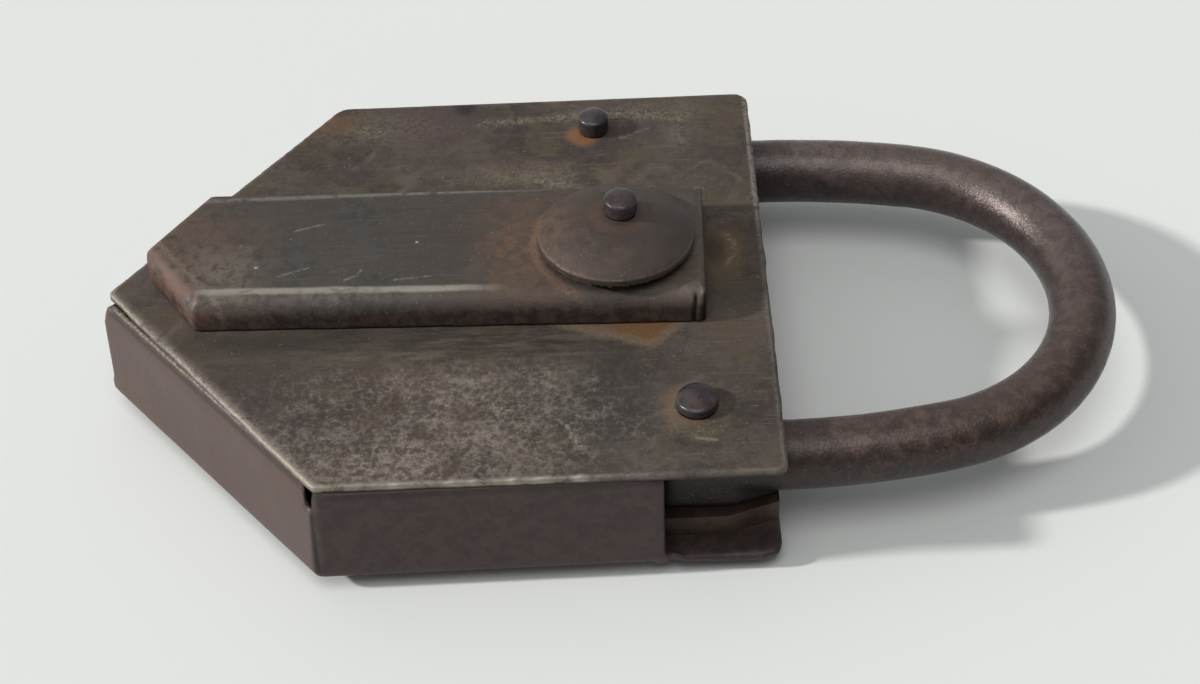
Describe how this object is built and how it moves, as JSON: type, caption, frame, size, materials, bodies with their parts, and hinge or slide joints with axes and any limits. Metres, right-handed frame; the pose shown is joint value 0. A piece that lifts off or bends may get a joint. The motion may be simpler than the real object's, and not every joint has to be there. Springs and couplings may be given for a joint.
{
  "type": "padlock",
  "caption": "House-shaped riveted iron padlock with a U shackle hinged on one rivet and a swinging keyhole cover; it lies on its back.",
  "frame": {"origin": "bottom centre of the whole lock, on the plane its rivet tails rest on", "axes": "+X from the tip to the shackle, +Y towards the free leg of the shackle, +Z out of the front plate"},
  "size_m": [0.1786, 0.0975, 0.0423],
  "materials": {
    "back_tray": "forged sheet, brown rust patina, worn at the folds",
    "front_plate": "forged sheet, mottled brown patina with bare worn patches",
    "shackle": "round bar, dark even rust",
    "hinge_rivet": "hammered head, dark rust",
    "hinge_block": "dark rust",
    "toe_rivet": "hammered head, dark rust",
    "inner_iron": "dry brown rust",
    "tip_rivet": "filed flush, brown rust",
    "keyhole_cover": "folded sheet, grey-brown patina, bare edges",
    "cover_washer": "dished sheet, brown patina",
    "cover_rivet": "hammered head, dark rust",
    "bolt": "filed bar, thin rust",
    "back_spring": "blued spring steel, spotted rust",
    "ward_iron": "dry brown rust"
  },
  "bodies": {
    "case": {"back_tray": "back_tray", "front_plate": "front_plate", "hinge_rivet": "hinge_rivet", "hinge_block": "hinge_block", "toe_rivet": "toe_rivet", "toe_block": "inner_iron", "toe_collar": "inner_iron", "tip_rivet": "tip_rivet", "tip_collar": "inner_iron", "cover_washer": "cover_washer", "cover_rivet": "cover_rivet", "lower_collar": "inner_iron", "upper_collar": "inner_iron", "bolt_guide": "inner_iron", "back_spring": "back_spring", "spring_post": "inner_iron", "key_pin": "inner_iron", "lower_ward": "ward_iron", "upper_ward": "ward_iron"},
    "shackle_body": {"shackle": "shackle"},
    "cover": {"keyhole_cover": "keyhole_cover"},
    "bolt_body": {"bolt": "bolt"}
  },
  "joints": [
    {"name": "shackle_swing", "type": "hinge", "parent": "case", "child": "shackle_body", "pos_m": [0.0136, -0.03275, 0.0146], "axis": [0, 0, -1], "range_deg": [0, 75]},
    {"name": "cover_swing", "type": "hinge", "parent": "case", "child": "cover", "pos_m": [0.0024, 0.00085, 0.0276], "axis": [0, 0, 1], "range_deg": [-52, 78]},
    {"name": "bolt_slide", "type": "slide", "parent": "case", "child": "bolt_body", "axis": [0, 1, 0], "range_m": [0, 0.0055]}
  ]
}
